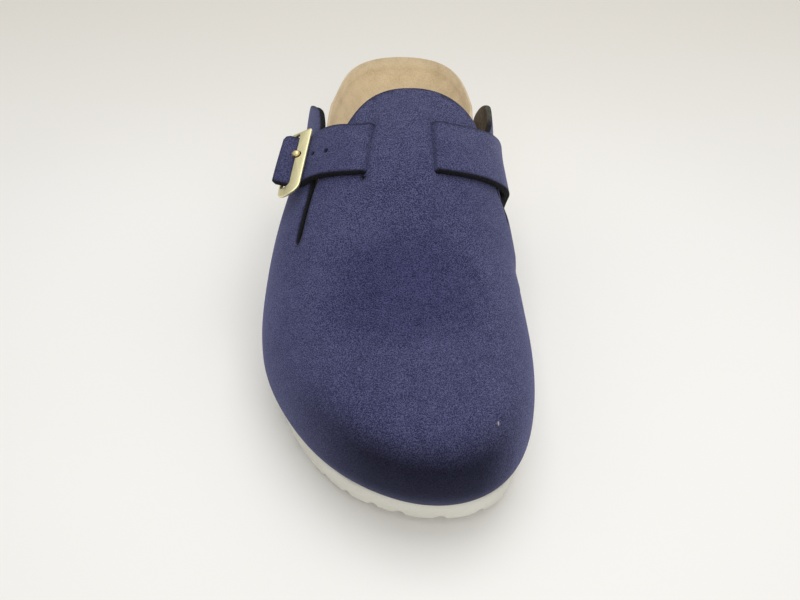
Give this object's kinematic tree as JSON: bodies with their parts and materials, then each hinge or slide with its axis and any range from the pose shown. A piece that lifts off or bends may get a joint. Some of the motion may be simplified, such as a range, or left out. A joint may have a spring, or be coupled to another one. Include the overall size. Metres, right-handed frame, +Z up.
{
  "type": "clog",
  "caption": "Backless footbed clog with a closed rounded toe, an instep strap threaded under a bridge and a pin buckle, on a cupped footbed and a lugged foam sole.",
  "frame": {"origin": "middle of the shoe's box in plan, on the plane that its heel and forefoot stand on", "axes": "+Z up, +Y from the toe to the heel, +X to the medial side of this right shoe"},
  "size_m": [0.1004, 0.2667, 0.0894],
  "materials": {
    "sole_foam": "matt moulded foam, off-white",
    "suede_cork": "napped beige suede over cork",
    "nubuck": "fine-napped navy nubuck with dark cut edges",
    "buckle_metal": "satin pale gold plating"
  },
  "bodies": {
    "root": {"outsole": "sole_foam", "footbed": "suede_cork", "upper": "nubuck", "instep_strap": "nubuck", "buckle_tab": "nubuck", "buckle_frame": "buckle_metal", "buckle_prong": "buckle_metal"}
  },
  "joints": []
}
